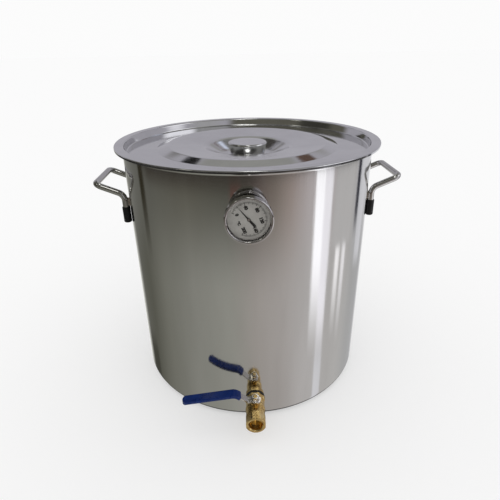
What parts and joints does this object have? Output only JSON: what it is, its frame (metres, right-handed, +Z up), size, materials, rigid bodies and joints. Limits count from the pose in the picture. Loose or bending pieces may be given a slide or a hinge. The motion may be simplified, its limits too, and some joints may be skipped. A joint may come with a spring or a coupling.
{
  "type": "brew kettle",
  "caption": "Cylindrical stainless brew kettle with a recessed lid, two rod handles, a dial thermometer and a brass ball valve at the base.",
  "frame": {"origin": "centre of the flat underside of the base", "axes": "+Z up along the kettle's axis; the thermometer and the valve are at the front, facing -Y; the handles are on -X and +X"},
  "size_m": [0.452, 0.4197, 0.373],
  "materials": {
    "wall_steel": "satin, rolled sheet with fine vertical grain",
    "lid_steel": "bright satin, spun",
    "plain_steel": "turned stainless steel",
    "rod_steel": "polished rod",
    "weld_steel": "cleaned weld bead",
    "black_cap": "moulded black plastic",
    "brass": "forged and turned brass",
    "chrome": "bright plating",
    "strap_steel": "bright zinc plating",
    "blue_vinyl": "dipped vinyl sleeve",
    "ptfe": "white PTFE",
    "silicone": "black silicone",
    "dial_paint": "white enamel",
    "pointer_black": "black enamel",
    "lens_glass": "clear flat glass"
  },
  "bodies": {
    "kettle": {"handle_left": "rod_steel", "handle_left_cap_front": "black_cap", "handle_left_cap_rear": "black_cap", "handle_left_welds": "weld_steel", "handle_right": "rod_steel", "handle_right_cap_front": "black_cap", "handle_right_cap_rear": "black_cap", "handle_right_welds": "weld_steel", "kettle_shell": "wall_steel", "thermometer_bezel": "chrome", "thermometer_bimetal_coil": "plain_steel", "thermometer_bushing": "plain_steel", "thermometer_case": "chrome", "thermometer_dial": "dial_paint", "thermometer_inner_gasket": "silicone", "thermometer_lens": "lens_glass", "thermometer_lens_ring": "chrome", "thermometer_locknut": "plain_steel", "thermometer_outer_gasket": "silicone", "thermometer_stem": "plain_steel", "valve_body": "brass", "valve_gland": "brass", "valve_inner_gasket": "silicone", "valve_locknut": "brass", "valve_outer_gasket": "silicone", "valve_packing": "ptfe", "valve_seat_front": "ptfe", "valve_seat_rear": "ptfe", "valve_tailpiece": "brass"},
    "lid": {"lid_knob_core": "plain_steel", "lid_knob_screw": "plain_steel", "lid_knob_shell": "lid_steel", "lid_knob_washer": "plain_steel", "lid_pan": "lid_steel"},
    "lever": {"lever_grip": "blue_vinyl", "lever_nut": "strap_steel", "lever_strap": "strap_steel", "lever_washer": "strap_steel", "valve_ball": "chrome", "valve_stem": "brass"},
    "pointer": {"thermometer_pointer": "pointer_black", "thermometer_spindle": "plain_steel"}
  },
  "joints": [
    {"name": "lid_lift", "type": "slide", "parent": "kettle", "child": "lid", "axis": [0, 0, 1], "range_m": [0, 0.2]},
    {"name": "valve_lever", "type": "hinge", "parent": "kettle", "child": "lever", "pos_m": [0.0045, -0.2015, 0.055], "axis": [0, 0, 1], "range_deg": [0, 90]},
    {"name": "dial_pointer", "type": "hinge", "parent": "kettle", "child": "pointer", "pos_m": [0, -0.1944, 0.319], "axis": [0, 1, 0], "range_deg": [-27, 243], "stiffness_Nm_per_rad": 0.001}
  ]
}
